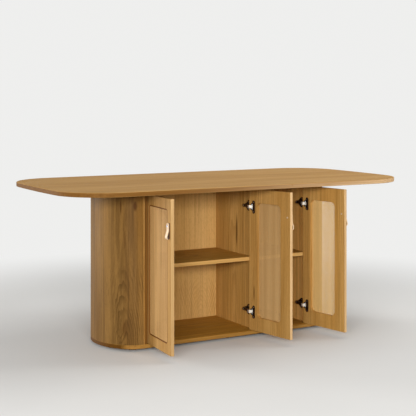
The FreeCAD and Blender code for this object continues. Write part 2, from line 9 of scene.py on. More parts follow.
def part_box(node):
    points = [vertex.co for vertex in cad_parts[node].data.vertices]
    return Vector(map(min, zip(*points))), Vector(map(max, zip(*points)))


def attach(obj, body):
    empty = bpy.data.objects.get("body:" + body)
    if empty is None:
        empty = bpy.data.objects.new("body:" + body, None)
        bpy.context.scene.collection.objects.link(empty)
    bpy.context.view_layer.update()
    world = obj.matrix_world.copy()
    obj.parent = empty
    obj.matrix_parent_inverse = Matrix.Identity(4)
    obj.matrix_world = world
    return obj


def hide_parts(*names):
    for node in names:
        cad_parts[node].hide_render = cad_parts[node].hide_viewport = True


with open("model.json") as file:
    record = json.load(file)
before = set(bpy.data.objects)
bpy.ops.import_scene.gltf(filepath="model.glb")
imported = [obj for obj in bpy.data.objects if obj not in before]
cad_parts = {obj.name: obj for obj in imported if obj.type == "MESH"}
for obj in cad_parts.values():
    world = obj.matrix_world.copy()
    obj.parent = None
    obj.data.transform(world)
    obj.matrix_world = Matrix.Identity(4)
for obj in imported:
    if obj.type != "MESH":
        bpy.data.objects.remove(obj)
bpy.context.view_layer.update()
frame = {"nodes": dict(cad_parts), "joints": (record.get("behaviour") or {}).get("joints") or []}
nodes = frame["nodes"]
SIDES = (("left", -1), ("right", 1))
DOORS = ("left", "middle", "right")

# Camera, fitted to the photograph, which is square; its place is in metres
IMAGE_PX = 416
SENSOR_MM = 36.0
FOCAL_PX = 1060.8
HORIZON_PX = 92.93
YAW_DEG = 29.62
UPRIGHT_DEG = 90.0
CAMERA_AT = (-2.5897, -4.5313, 1.1718)

# Woven panels, in metres; a spread is the share by which the widths of strands differ
UPRIGHT_PITCH = 0.0044
UPRIGHT_WIDTH = 0.0026
UPRIGHT_SPREAD = 0.12
LEVEL_PITCH = 0.0030
LEVEL_WIDTH = 0.0015
LEVEL_SPREAD = 0.03
STRAND_THICK = 0.0003
STRAND_LIFT = 0.00026
PANEL_CORNER_R = 0.0135

# Leather pulls, in metres, and the steps of their curves
LEATHER_THICK = 0.004
LEATHER_EDGE_R = 0.0009
STRAP_FLAT = 0.032
STRAP_SIDE_GAP = 0.0002
FOLD_STEPS = 14
RUN_STEPS = 6
EDGE_STEPS = 3

# Tones of the oak, as a screen shows them: dark, middle and light, or one tone for the edges
TOP_TONES = ((140, 97, 44), (178, 135, 74), (191, 149, 88))
# Tabletop edge: darker at the left end, turning lighter towards the right end as painted light from the
# right
TOP_EDGE = (124, 85, 39)
TOP_EDGE_RIGHT_PAINTED_LIGHT = (211, 176, 133)
# End shells and top board: a darker oak, partly the wood's own tone and partly painted shade
CASE_DARK_AND_SHADED_TONES = ((64, 39, 6), (127, 89, 35), (147, 109, 56))
# Dark tone on the side panels' front edges and rear strip, painted shade on the front edges
CASE_EDGE_PAINTED_SHADE = (108, 74, 30)
INSIDE_TONES = ((118, 77, 24), (187, 141, 73), (201, 156, 89))
# Back panel: lighter than the same oak elsewhere, partly painted light on its front face
BACK_TONES_WITH_PAINTED_LIGHT = ((130, 87, 32), (206, 160, 91), (218, 175, 109))
BACK_REAR = (152, 112, 56)
# Side panels' inner faces: lighter than the same oak elsewhere, painted light in the shaded bays
SIDE_TONES_WITH_PAINTED_LIGHT = ((150, 98, 34), (236, 176, 92), (244, 190, 110))
SHELF_TONES = ((112, 69, 8), (178, 130, 50), (192, 145, 66))
# Shelves' front edges: lighter tones that are painted light on the faces towards the front, lightest on
# the right shelf, which sits in the middle door's shade
SHELF_EDGES_PAINTED_LIGHT = {"left": (214, 169, 100), "right": (250, 206, 130)}
BOTTOM_TONES = ((114, 74, 20), (172, 123, 42), (186, 138, 56))
# Bottom board's rim: dark tone that is painted shade at the rounded ends, with a lighter tone on its front
# edge
BOTTOM_EDGE_PAINTED_SHADE = (96, 60, 8)
BOTTOM_EDGE_FRONT = (163, 118, 54)
DOOR_TONES = {"left": ((128, 84, 30), (184, 138, 74), (200, 156, 92)),
              "middle": ((124, 82, 28), (180, 135, 71), (197, 153, 88)),
              "right": ((132, 88, 30), (194, 146, 76), (210, 164, 94))}
# Doors' side edges: lighter than the frames, partly painted light on the free edges that face the front,
# lightest on the middle door
DOOR_EDGES_WITH_PAINTED_LIGHT = {"left": (205, 168, 115), "middle": (218, 181, 132), "right": (209, 172, 122)}
# Beads round the cane panels: a dark spline, darkened further as painted shade of the groove round each
# panel
BEAD_TONES_WITH_PAINTED_SHADE = ((66, 32, 2), (108, 58, 6), (126, 71, 12))
KNOT_TONE = (76, 44, 6)
EDGE_SHADE = (214, 202, 182)

# Tones of the other materials: main and second, or one tone for the grain
# Cane tones per door: the right door's are lighter as painted light from the bright background behind its
# panel
CANE_TONES_WITH_PAINTED_LIGHT = {"left": ((209, 166, 107), (175, 133, 77)),
              "middle": ((205, 167, 112), (190, 152, 99)),
              "right": ((231, 193, 126), (218, 180, 114))}
CANE_FIBRE_TONE = (150, 104, 56)
PLY_TONES = ((205, 172, 128), (172, 134, 88))
PLY_GRAIN_TONE = (150, 112, 70)
BRONZE_TONES = ((62, 45, 32), (86, 66, 50))
NICKEL_TONES = ((244, 237, 224), (226, 218, 205))
STUD_TONES = ((205, 208, 222), (176, 180, 198))
SCREW_TONES = ((220, 202, 170), (202, 184, 152))
ZINC_TONES = ((190, 192, 196), (160, 162, 168))
PLASTIC_TONES = ((26, 26, 26), (40, 40, 40))
LEATHER_TONES = ((240, 213, 178), (222, 190, 150))
# Leather lining and cut edges: dark brown, partly painted shade in the loop
LINING_AND_SHADE_TONES = ((88, 54, 30), (64, 38, 20))

# Stage: metres, watts, and colours as a screen shows them or, for the background, as light
GROUND_SIZE = 60.0
GROUND_FADE = (1.3, 2.8)
GROUND_TONES = ((214, 213, 210), (222, 221, 218))
GROUND_BOUNCE = (98, 92, 82)
GROUND_CLOUD_SCALE = 1.2
GROUND_ROUGHNESS = 0.8
GROUND_SHINE = 0.05
BACKGROUND = (0.86, 0.86, 0.85)
WORLD_STRENGTH = 0.35


class Lamp(NamedTuple):
    """Rectangular lamp that is aimed at a target."""
    name: str
    place: tuple
    target: tuple
    size: tuple
    watts: float


LAMPS = (Lamp("key", (-3.0, -4.8, 1.54), (0.0, 0.0, 0.45), (3.4, 0.8), 302.0),
         Lamp("above", (1.3, -0.3, 3.4), (0.6, 0.0, 0.75), (2.6, 2.0), 42.0),
         Lamp("left", (-4.2, 4.3, 1.05), (-0.6, 0.1, 0.45), (2.4, 1.6), 232.0),
         Lamp("right", (4.0, -2.3, 0.9), (0.8, -0.4, 0.7), (1.2, 1.2), 78.0))


# Nodes of a material

NOISE_MEAN = 0.5
NOISE_CORE = (0.3, 0.7)


class Layer(NamedTuple):
    """Noise that is stretched along a grain, with its repeats per metre across and along it."""
    across: float
    along: float
    detail: float = 2.0
    roughness: float = 0.5
    distortion: float = 0.0


def srgb(red, green, blue):
    """Linear colour of three 0 to 255 values, by the curve of the sRGB standard."""
    def linear(value):
        share = value / 255
        return share / 12.92 if share <= 0.04045 else ((share + 0.055) / 1.055) ** 2.4
    return (linear(red), linear(green), linear(blue), 1.0)


def stretch(axis, across, along):
    """Scale vector with one value along an axis and another across it."""
    return tuple(along if axis == place else across for place in "XYZ")


class Graph:
    """A material's nodes, with short calls for the ones used here."""

    def __init__(self, name):
        self.material = bpy.data.materials.new(name)
        self.material.use_nodes = True
        self.tree = self.material.node_tree
        self.shader = self.tree.nodes["Principled BSDF"]

    def feed(self, socket, value):
        if isinstance(value, bpy.types.NodeSocket):
            self.tree.links.new(value, socket)
        else:
            socket.default_value = value

    def add(self, kind, inputs, out=0, **settings):
        """One output of a new node, whose inputs are given by name or place."""
        made = self.tree.nodes.new(kind)
        for key, value in settings.items():
            setattr(made, key, value)
        for key, value in inputs.items():
            self.feed(made.inputs[key], value)
        return made.outputs[out]

    def set(self, **values):
        """Values or sockets for the shader, by input name with underscores for spaces."""
        for key, value in values.items():
            self.feed(self.shader.inputs[key.replace("_", " ")], value)

    def math(self, operation, *inputs):
        return self.add("ShaderNodeMath", dict(enumerate(inputs)), operation=operation)

    def hypot(self, first, second):
        squares = [self.math("MULTIPLY", value, value) for value in (first, second)]
        return self.math("SQRT", self.math("ADD", *squares))

    def turned(self, output, turn, kind):
        """Texture coordinates turned about Z."""
        coordinates = self.add("ShaderNodeTexCoord", {}, out=output)
        rotation = {"Vector": coordinates, "Rotation": (0.0, 0.0, turn)}
        return self.add("ShaderNodeMapping", rotation, vector_type=kind)

    def place(self, turn=0.0):
        """Coordinates of the piece at rest."""
        return self.turned("Object", turn, "POINT")

    def facing(self, turn=0.0):
        """Direction that the surface faces."""
        return self.turned("Normal", turn, "NORMAL")

    def parts(self, vector):
        split = self.tree.nodes.new("ShaderNodeSeparateXYZ")
        self.feed(split.inputs[0], vector)
        return tuple(split.outputs)

    def scaled(self, vector, scale, offset=(0.0, 0.0, 0.0)):
        return self.add("ShaderNodeMapping", {"Vector": vector, "Location": offset, "Scale": scale})

    def noise(self, vector, scale, detail=2.0, roughness=0.5, distortion=0.0):
        return self.add("ShaderNodeTexNoise", {"Vector": vector, "Scale": scale, "Detail": detail,
                                               "Roughness": roughness, "Distortion": distortion})

    def grain(self, place, axis, layer, offset=(0.0, 0.0, 0.0)):
        """Noise of a layer, with the grain along an axis."""
        vector = self.scaled(place, stretch(axis, layer.across, layer.along), offset)
        return self.noise(vector, 1.0, layer.detail, layer.roughness, layer.distortion)

    def swing(self, noise, reach):
        """Noise that swings to both sides of zero."""
        return self.math("MULTIPLY", self.math("SUBTRACT", noise, NOISE_MEAN), reach)

    def span(self, value, low, high, to_low=0.0, to_high=1.0):
        """Value moved from one range to another with soft ends."""
        inputs = dict(enumerate((value, low, high, to_low, to_high)))
        return self.add("ShaderNodeMapRange", inputs, interpolation_type="SMOOTHSTEP")

    def mix(self, share, first, second, blend="MIX"):
        made = self.tree.nodes.new("ShaderNodeMix")
        made.data_type = "RGBA"
        made.blend_type = blend
        sockets = {socket.identifier: socket for socket in made.inputs}
        for key, value in (("Factor_Float", share), ("A_Color", first), ("B_Color", second)):
            self.feed(sockets[key], value)
        return next(socket for socket in made.outputs if socket.identifier == "Result_Color")

    def bump(self, height, strength, distance):
        inputs = {"Height": height, "Strength": strength, "Distance": distance}
        self.set(Normal=self.add("ShaderNodeBump", inputs))


# Masks: which faces of a piece take its edge tone, from their place and the direction that they face

RIM_TURN = (0.75, 0.35)
FACE_TURN = (0.6, 0.85)
EDGE_REACH = 0.004


def rim_faces(g, place, facing):
    """Faces round a level board."""
    return g.span(g.math("ABSOLUTE", g.parts(facing)[2]), *RIM_TURN)


def front_faces(g, place, facing):
    """Front and rear faces."""
    return g.span(g.math("ABSOLUTE", g.parts(facing)[1]), *FACE_TURN)


def rear_faces(g, place, facing):
    return g.span(g.parts(facing)[1], *FACE_TURN)


def outside_faces(g, place, facing):
    """Front and rear edges of an upright, and the strip of it behind the back panel."""
    behind = g.math("GREATER_THAN", g.parts(place)[1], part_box("back_panel")[0][1])
    return g.math("MAXIMUM", front_faces(g, place, facing), behind)


def side_faces(low, high):
    """Faces at the two ends of a door's width."""
    def mask(g, place, facing):
        turned = g.span(g.math("ABSOLUTE", g.parts(facing)[0]), *FACE_TURN)
        reach = g.math("ABSOLUTE", g.math("SUBTRACT", g.parts(place)[0], (low + high) / 2))
        at_end = g.math("GREATER_THAN", reach, (high - low) / 2 - EDGE_REACH)
        return g.math("MULTIPLY", turned, at_end)
    return mask


# Oak: lengths in metres

RING_SPACING = 0.011
END_RING_SPACING = 0.0085
BACK_RING_SPACING = 0.0075
END_ARC_R = 0.2
END_SEAM_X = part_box("right_side_panel")[1][0]
RIPPLE_DEPTH = 0.012
BAND_REACH = (0.11, 0.01)
TOP_EDGE_PAINTED_LIGHT_SPAN = (-0.5, 0.9)
TICK_X = 0.18
TICK_HALF = 0.0016
TICK_Z = 0.7405
TICK_STRENGTH = 0.7

# Layers of the grain, from the slowest change to the finest
DRIFT = Layer(5.0, 1.3)
PATCH = Layer(11.0, 0.9)
FADE = Layer(16.0, 3.0, detail=1.0)
FLAKE = Layer(34.0, 15.0, detail=3.0, roughness=0.6)
RIPPLE = Layer(42.0, 7.0)
BLOT = Layer(48.0, 6.0, detail=3.0, roughness=0.6)
STREAK = Layer(60.0, 1.1, detail=4.0, roughness=0.65)
LINE = Layer(170.0, 2.2, detail=3.0, roughness=0.6)
FIBRE = Layer(420.0, 9.0)
PORE = Layer(1500.0, 60.0, detail=1.0)

# Ranges over which the layers, the rings and the knots come in, and how strong they get
PATCH_RANGE = (0.32, 0.68)
FADE_RANGE = (0.35, 0.65)
FADE_STRENGTHS = (0.25, 1.0)
BLOT_RANGE = (0.36, 0.62)
BLOT_LOW_SHARE = 0.4
STREAK_RANGE = (0.46, 0.72)
LINE_RANGE = (0.48, 0.7)
FIBRE_RANGE = (0.4, 0.8)
FIBRE_STRENGTH = 0.18
FIBRE_RELIEF = 0.4
PORE_RANGE = (0.58, 0.68)
PORE_STRENGTH = 0.4
PORE_RING_RANGE = (0.9, 0.2)
PORE_RING_STRENGTHS = (0.35, 1.0)
RING_RISE = (0.3, 0.92)
RING_FALL = (1.0, 0.93)
KNOT_RANGE = (1.0, 0.3)
KNOT_BEND_RANGE = (2.5, 0.5)
EDGE_STREAK_RANGE = (0.4, 0.75)
EDGE_STREAK_STRENGTH = 0.4
EDGE_LINE_RANGE = (0.42, 0.68)
EDGE_LINE_STRENGTH = 0.6
EDGE_FIBRE_RANGE = (0.5, 0.75)
EDGE_FIBRE_STRENGTH = 0.5
OAK_ROUGHNESS = (0.52, 0.68)


class Knot(NamedTuple):
    """Dark mark in the grain."""
    across: float
    along: float
    half_width: float
    half_length: float
    strength: float


END_KNOTS = (Knot(-0.273, 0.659, 0.013, 0.03, 0.9), Knot(-0.207, 0.655, 0.006, 0.045, 0.8),
             Knot(-0.226, 0.51, 0.009, 0.06, 0.4), Knot(-0.226, 0.105, 0.02, 0.05, 0.5))
PARTITION_KNOTS = (Knot(-0.025, 0.49, 0.012, 0.11, 0.75),)
MIDDLE_DOOR_KNOTS = (Knot(-0.232, 0.212, 0.007, 0.05, 0.65),)


class Wood(NamedTuple):
    """How one piece of oak looks, with strengths from 0 to 1."""
    tones: tuple

    # Direction of the grain, direction across it, and a turn that squares an open door to the axes
    axis: str = "Z"
    across: str = "X"
    turn: float = 0.0

    # 1 or -1 to wrap the grain round the right or left end, and a seed to set pieces apart
    bent: int = 0
    seed: float = 0.0

    # The log: place of its heart across and below the surface, its slope and the spacing of its rings
    centre: float = 0.0
    depth: float = 0.05
    tilt: float = 0.05
    spacing: float = RING_SPACING

    # How far the heart moves from side to side, and how flaky the rings are near it
    wander: float = 0.11
    waver: float = 0.0

    # Strength of the rings, of the wide streaks, of the fine lines and of a dark band along the heart
    figure: float = 0.35
    streaks: float = 0.45
    lines: float = 0.38
    heart: float = 0.0

    # Stretch along the grain over which the rings come in, and the knots
    window: tuple = None
    knots: tuple = ()

    # Tone of the faces that the mask picks, its tone at the right, which is painted light, its tone in
    # front, and a dark tick in it
    edge: tuple = None
    edge_mask: object = None
    edge_end: tuple = None
    edge_front: tuple = None
    tick: bool = False

    # Specular level of the finish
    shine: float = 0.12


def grain_places(g, wood, place):
    """Places along the grain and across it, where the second follows the arc of a bent end."""
    x, y, z = g.parts(place)
    along = {"X": x, "Z": z}[wood.axis]
    if not wood.bent:
        return along, {"X": x, "Y": y}[wood.across]
    outward = g.math("MULTIPLY", g.math("SUBTRACT", x, wood.bent * END_SEAM_X), wood.bent)
    return along, g.math("MULTIPLY", g.math("ARCTAN2", y, outward), END_ARC_R)


def knot_reach(g, knot, along, side):
    """Distance from a knot, which is 1 on its outline."""
    off = g.math("DIVIDE", g.math("SUBTRACT", side, knot.across), knot.half_width)
    rise = g.math("DIVIDE", g.math("SUBTRACT", along, knot.along), knot.half_length)
    return g.hypot(off, rise)


def growth_rings(g, wood, place, along, side, reaches):
    """Share of dark late wood, and of the band along the heart."""
    seed = wood.seed
    drift = g.swing(g.grain(place, wood.axis, DRIFT, (seed, seed, seed)), wood.wander)
    ripple = g.swing(g.grain(place, wood.axis, RIPPLE, (seed, 0.0, 0.0)), RIPPLE_DEPTH)
    fade = g.grain(place, wood.axis, FADE, (0.0, seed, seed))
    side = g.math("ADD", g.math("SUBTRACT", side, wood.centre), drift)
    band = g.span(g.math("ABSOLUTE", side), *BAND_REACH)
    if wood.waver:
        flake = g.swing(g.grain(place, wood.axis, FLAKE, (seed, seed, 0.0)), wood.waver)
        side = g.math("ADD", side, g.math("MULTIPLY", flake, band))
    for knot, reach in zip(wood.knots, reaches):
        side = g.math("ADD", side, g.span(reach, *KNOT_BEND_RANGE, to_high=knot.half_width))
    height = g.math("ADD", g.math("MULTIPLY", along, wood.tilt), wood.depth)
    radius = g.math("ADD", g.hypot(side, height), ripple)
    ring = g.math("FRACT", g.math("DIVIDE", radius, wood.spacing))
    late = g.math("MULTIPLY", g.span(ring, *RING_RISE), g.span(ring, *RING_FALL))
    late = g.math("MULTIPLY", late, g.span(fade, *FADE_RANGE, *FADE_STRENGTHS))
    if wood.window:
        late = g.math("MULTIPLY", late, g.span(along, *wood.window))
    return late, band


def ticked(g, place, tone, dark):
    """Tone with the small dark tick on the front edge of the tabletop."""
    x, y, z = g.parts(place)
    tick = g.math("LESS_THAN", g.math("ABSOLUTE", g.math("SUBTRACT", x, TICK_X)), TICK_HALF)
    tick = g.math("MULTIPLY", tick, g.math("LESS_THAN", y, 0.0))
    tick = g.math("MULTIPLY", tick, g.math("GREATER_THAN", z, TICK_Z))
    return g.mix(g.math("MULTIPLY", tick, TICK_STRENGTH), tone, dark)


def edge_colour(g, wood, place, facing, dark, streak, line, fibre):
    """Edge tone with its own weak grain."""
    tone = srgb(*wood.edge)
    # Painted light: the edge tone turns lighter towards the right end of the tabletop
    if wood.edge_end:
        tone = g.mix(g.span(g.parts(place)[0], *TOP_EDGE_PAINTED_LIGHT_SPAN), tone, srgb(*wood.edge_end))
    if wood.tick:
        tone = ticked(g, place, tone, dark)
    if wood.edge_front:
        tone = g.mix(front_faces(g, place, facing), tone, srgb(*wood.edge_front))
    tone = g.mix(g.span(streak, *EDGE_STREAK_RANGE, to_high=EDGE_STREAK_STRENGTH), tone, dark)
    shade = srgb(*EDGE_SHADE)
    tone = g.mix(g.span(line, *EDGE_LINE_RANGE, to_high=EDGE_LINE_STRENGTH), tone, shade, "MULTIPLY")
    return g.mix(g.span(fibre, *EDGE_FIBRE_RANGE, to_high=EDGE_FIBRE_STRENGTH), tone, shade, "MULTIPLY")


def oak(name, tones, **settings):
    """Plain-sawn oak: growth rings of a slightly tilted log, slow tone changes, fibres and pores."""
    wood = Wood(tones, **settings)
    axis, seed = wood.axis, wood.seed
    dark, middle, light = (srgb(*tone) for tone in wood.tones)
    g = Graph(name)
    place = g.place(wood.turn)
    along, side = grain_places(g, wood, place)
    reaches = [knot_reach(g, knot, along, side) for knot in wood.knots]
    late, band = growth_rings(g, wood, place, along, side, reaches)
    patch = g.grain(place, axis, PATCH, (seed, 0.0, seed))
    streak = g.grain(place, axis, STREAK, (0.0, seed, 0.0))
    line = g.grain(place, axis, LINE, (seed, 0.0, seed))
    fibre = g.grain(place, axis, FIBRE)
    pore = g.grain(place, axis, PORE)

    colour = g.mix(g.span(patch, *PATCH_RANGE), middle, light)
    colour = g.mix(g.span(streak, *STREAK_RANGE, to_high=wood.streaks), colour, dark)
    colour = g.mix(g.span(line, *LINE_RANGE, to_high=wood.lines), colour, dark)
    if wood.heart:
        blot = g.grain(place, axis, BLOT, (seed, 0.0, seed))
        blot = g.span(blot, *BLOT_RANGE, BLOT_LOW_SHARE * wood.heart, wood.heart)
        colour = g.mix(g.math("MULTIPLY", band, blot), colour, dark)
    colour = g.mix(g.math("MULTIPLY", late, wood.figure), colour, dark)
    colour = g.mix(g.span(fibre, *FIBRE_RANGE, to_high=FIBRE_STRENGTH), colour, light)
    for knot, reach in zip(wood.knots, reaches):
        colour = g.mix(g.span(reach, *KNOT_RANGE, to_high=knot.strength), colour, srgb(*KNOT_TONE))
    pore_share = g.span(late, *PORE_RING_RANGE, *PORE_RING_STRENGTHS)
    pores = g.math("MULTIPLY", g.span(pore, *PORE_RANGE), pore_share)
    colour = g.mix(g.math("MULTIPLY", pores, PORE_STRENGTH), colour, dark)
    if wood.edge:
        facing = g.facing(wood.turn)
        edge = edge_colour(g, wood, place, facing, dark, streak, line, fibre)
        colour = g.mix(wood.edge_mask(g, place, facing), colour, edge)

    roughness = g.span(fibre, *NOISE_CORE, *OAK_ROUGHNESS)
    g.set(Base_Color=colour, Roughness=roughness, Specular_IOR_Level=wood.shine)
    relief = g.math("SUBTRACT", g.math("MULTIPLY", fibre, FIBRE_RELIEF), pores)
    g.bump(relief, strength=0.25, distance=0.0003)
    return g.material


# Plywood, metals, plastic, cane and leather

PLIES_PER_METRE = 330.0
PLY_CHANGE = (0.42, 0.58)
PLY_GRAIN_SCALE = (40.0, 6.0, 900.0)
PLY_GRAIN_STRENGTH = 0.35
PLY_ROUGHNESS = (0.6, 0.75)

METAL_BRUSH = Layer(900.0, 30.0, detail=3.0, roughness=0.6)
METAL_WEAR_SCALE = 60.0
METAL_WEAR_RANGE = (0.35, 0.75)

PLASTIC_CLOUD_SCALE = 25.0
PLASTIC_SPECK_SCALE = 900.0
PLASTIC_ROUGHNESS = (0.5, 0.65)

CANE_FIBRE = Layer(2600.0, 60.0)
CANE_FIBRE_RANGE = (0.5, 0.75)
CANE_FIBRE_STRENGTH = 0.3
CANE_STREAK = Layer(30.0, 0.8, detail=3.0, roughness=0.6)
CANE_STREAK_RANGE = (0.32, 0.68)
CANE_ROUGHNESS = (0.5, 0.64)
CANE_SHINE = 0.15

LEATHER_CELL_SCALE = 1300.0
LEATHER_CELL_WALL = 0.18
LEATHER_CELL_SHADE = 0.25
LEATHER_CELL_SHADE_RANGE = (0.6, 0.0)
LEATHER_CLOUD_SCALE = 70.0
LEATHER_CREASE = Layer(240.0, 700.0, distortion=1.0)


def plywood(name, tones, grain_tone):
    """Raw plywood: thin layers that alternate in tone through the height."""
    g = Graph(name)
    place = g.place()
    layer = g.math("FRACT", g.math("MULTIPLY", g.parts(place)[2], PLIES_PER_METRE))
    grain = g.noise(g.scaled(place, PLY_GRAIN_SCALE), 1.0, detail=3.0)
    face, core = (srgb(*tone) for tone in tones)
    colour = g.mix(g.span(layer, *PLY_CHANGE), face, core)
    colour = g.mix(g.math("MULTIPLY", grain, PLY_GRAIN_STRENGTH), colour, srgb(*grain_tone))
    g.set(Base_Color=colour, Roughness=g.span(grain, *NOISE_CORE, *PLY_ROUGHNESS))
    g.bump(layer, strength=0.2, distance=0.0003)
    return g.material


def metal(name, tones, roughness, metallic=1.0):
    """Metal with fine upright brush lines and slow wear."""
    g = Graph(name)
    place = g.place()
    brush = g.grain(place, "Z", METAL_BRUSH)
    wear = g.noise(place, METAL_WEAR_SCALE, detail=3.0)
    tone, shade = (srgb(*tone) for tone in tones)
    colour = g.mix(g.span(wear, *METAL_WEAR_RANGE), tone, shade)
    g.set(Base_Color=colour, Roughness=g.span(brush, *NOISE_CORE, *roughness), Metallic=metallic)
    g.bump(brush, strength=0.08, distance=0.0001)
    return g.material


def plastic(name, tones):
    """Plastic with a fine speckled surface."""
    g = Graph(name)
    place = g.place()
    speck = g.noise(place, PLASTIC_SPECK_SCALE)
    tone, shade = (srgb(*tone) for tone in tones)
    colour = g.mix(g.span(g.noise(place, PLASTIC_CLOUD_SCALE), *NOISE_CORE), tone, shade)
    g.set(Base_Color=colour, Roughness=g.span(speck, *NOISE_CORE, *PLASTIC_ROUGHNESS))
    g.bump(speck, strength=0.15, distance=0.0001)
    return g.material


def cane(name, axis, turn, tones):
    """Split cane: long fibres along the strand and upright streaks of tone."""
    g = Graph(name)
    place = g.place(turn)
    fibre = g.grain(place, axis, CANE_FIBRE)
    streak = g.grain(place, "Z", CANE_STREAK)
    tone, shade = (srgb(*tone) for tone in tones)
    colour = g.mix(g.span(streak, *CANE_STREAK_RANGE), shade, tone)
    fibres = g.span(fibre, *CANE_FIBRE_RANGE, to_high=CANE_FIBRE_STRENGTH)
    colour = g.mix(fibres, colour, srgb(*CANE_FIBRE_TONE))
    roughness = g.span(fibre, *NOISE_CORE, *CANE_ROUGHNESS)
    g.set(Base_Color=colour, Roughness=roughness, Specular_IOR_Level=CANE_SHINE)
    g.bump(fibre, strength=0.2, distance=0.0001)
    return g.material


def leather(name, tones, roughness):
    """Full-grain leather: small cells, a few creases and a slow change of tone."""
    g = Graph(name)
    place = g.place()
    cells = {"Vector": place, "Scale": LEATHER_CELL_SCALE}
    cell = g.span(g.add("ShaderNodeTexVoronoi", cells, feature="DISTANCE_TO_EDGE"), 0.0, LEATHER_CELL_WALL)
    cloud = g.noise(place, LEATHER_CLOUD_SCALE, detail=3.0)
    crease = g.grain(place, "Z", LEATHER_CREASE)
    tone, shade = (srgb(*tone) for tone in tones)
    colour = g.mix(g.span(cloud, *NOISE_CORE), tone, shade)
    colour = g.mix(g.span(cell, *LEATHER_CELL_SHADE_RANGE, to_high=LEATHER_CELL_SHADE), colour, shade)
    g.set(Base_Color=colour, Roughness=g.span(cell, 0.0, 1.0, *reversed(roughness)))
    g.bump(g.math("ADD", cell, crease), strength=0.25, distance=0.0002)
    return g.material


# Door spaces: x from the hinge pin towards the free edge, y from outside to inside, z up

def door_joint(name):
    return next(joint for joint in frame["joints"] if joint["child"] == name + "_door")


def door_turn(name):
    """Angle about Z of a door at rest, and its hand: 1 where it is hinged on its left."""
    joint = door_joint(name)
    hand = -joint["axis"][2]
    return hand * math.radians(joint["range_deg"][0]), hand


def door_space(name):
    turn, hand = door_turn(name)
    pin = door_joint(name)["pos_m"]
    return (Matrix.Translation((pin[0], pin[1], 0.0)) @ Matrix.Rotation(turn, 4, "Z")
            @ Matrix.Diagonal((hand, 1.0, 1.0, 1.0)))


def local_box(node, space):
    """Lowest and highest corner of a CAD node in a space."""
    back = space.inverted()
    points = [back @ vertex.co for vertex in nodes[node].data.vertices]
    low = Vector([min(point[k] for point in points) for k in range(3)])
    high = Vector([max(point[k] for point in points) for k in range(3)])
    return low, high


def add_piece(name, points, faces, space, materials, face_materials, smooth=False):
    """Mesh piece from points in a door's space, with the place of each face's material."""
    mesh = bpy.data.meshes.new(name)
    mirrored = space.to_3x3().determinant() < 0
    if mirrored:
        faces = [tuple(reversed(face)) for face in faces]
    mesh.from_pydata([space @ Vector(point) for point in points], [], faces)
    for material in materials:
        mesh.materials.append(material)
    mesh.polygons.foreach_set("material_index", face_materials)
    if smooth:
        mesh.shade_smooth()
    mesh.update()
    piece = bpy.data.objects.new(name, mesh)
    bpy.context.scene.collection.objects.link(piece)
    return piece


# Woven panels

def crossings(low, high, pitch):
    """Middle lines of evenly spaced strands, as near to the pitch as whole strands allow."""
    count = round((high - low) / pitch)
    step = (high - low) / count
    return [low + (index + 0.5) * step for index in range(count)]


def corner_inset(offset):
    """How far a strand this near a side stops short of the panel's end at a rounded corner."""
    reach = PANEL_CORNER_R - offset
    return 0.0 if reach <= 0 else PANEL_CORNER_R - math.sqrt(PANEL_CORNER_R ** 2 - reach ** 2)


def strand(points, faces, places, half_width, upright):
    """Flat strand through places, which are (across, depth, along) in the panel."""
    first = len(points)
    half_thick = STRAND_THICK / 2
    for across, depth, along in places:
        for side, face in ((-1, -1), (1, -1), (1, 1), (-1, 1)):
            wide = across + side * half_width
            thick = depth + face * half_thick
            points.append((wide, thick, along) if upright else (along, thick, wide))
    made = []
    for index in range(len(places) - 1):
        base = first + 4 * index
        for corner in range(4):
            turn = (corner + 1) % 4
            made.append((base + corner, base + turn, base + 4 + turn, base + 4 + corner))
    last = first + 4 * (len(places) - 1)
    made.append((first + 3, first + 2, first + 1, first))
    made.append((last, last + 1, last + 2, last + 3))
    faces.extend(made if upright else [tuple(reversed(face)) for face in made])


def weave(name, materials):
    """Cane panel of one door: upright and level strands that pass over and under each other."""
    space = door_space(name)
    low, high = local_box(name + "_door_weave", space)
    middle = (low.y + high.y) / 2
    uprights = crossings(low.x, high.x, UPRIGHT_PITCH)
    levels = crossings(low.z, high.z, LEVEL_PITCH)
    draw = random.Random(name)
    points, faces, kinds = [], [], []

    def lay(own, others, own_range, other_range, upright):
        width, spread = (UPRIGHT_WIDTH, UPRIGHT_SPREAD) if upright else (LEVEL_WIDTH, LEVEL_SPREAD)
        lift = STRAND_LIFT if upright else -STRAND_LIFT
        for row, across in enumerate(own):
            inset = corner_inset(min(across - own_range[0], own_range[1] - across))
            begin, end = other_range[0] + inset, other_range[1] - inset
            places = [(across, middle, begin)]
            for column, along in enumerate(others):
                if begin < along < end:
                    places.append((across, middle + lift * (-1) ** (row + column), along))
            places.append((across, middle, end))
            drawn_width = width * (1 + draw.uniform(-spread, spread))
            strand(points, faces, places, drawn_width / 2, upright)
        kinds.extend([0 if upright else 1] * (len(faces) - len(kinds)))

    lay(uprights, levels, (low.x, high.x), (low.z, high.z), True)
    lay(levels, uprights, (low.z, high.z), (low.x, high.x), False)
    piece = add_piece(name + "_cane_panel", points, faces, space, materials, kinds)
    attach(piece, name + "_door")
    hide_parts(name + "_door_weave")


# Leather pulls

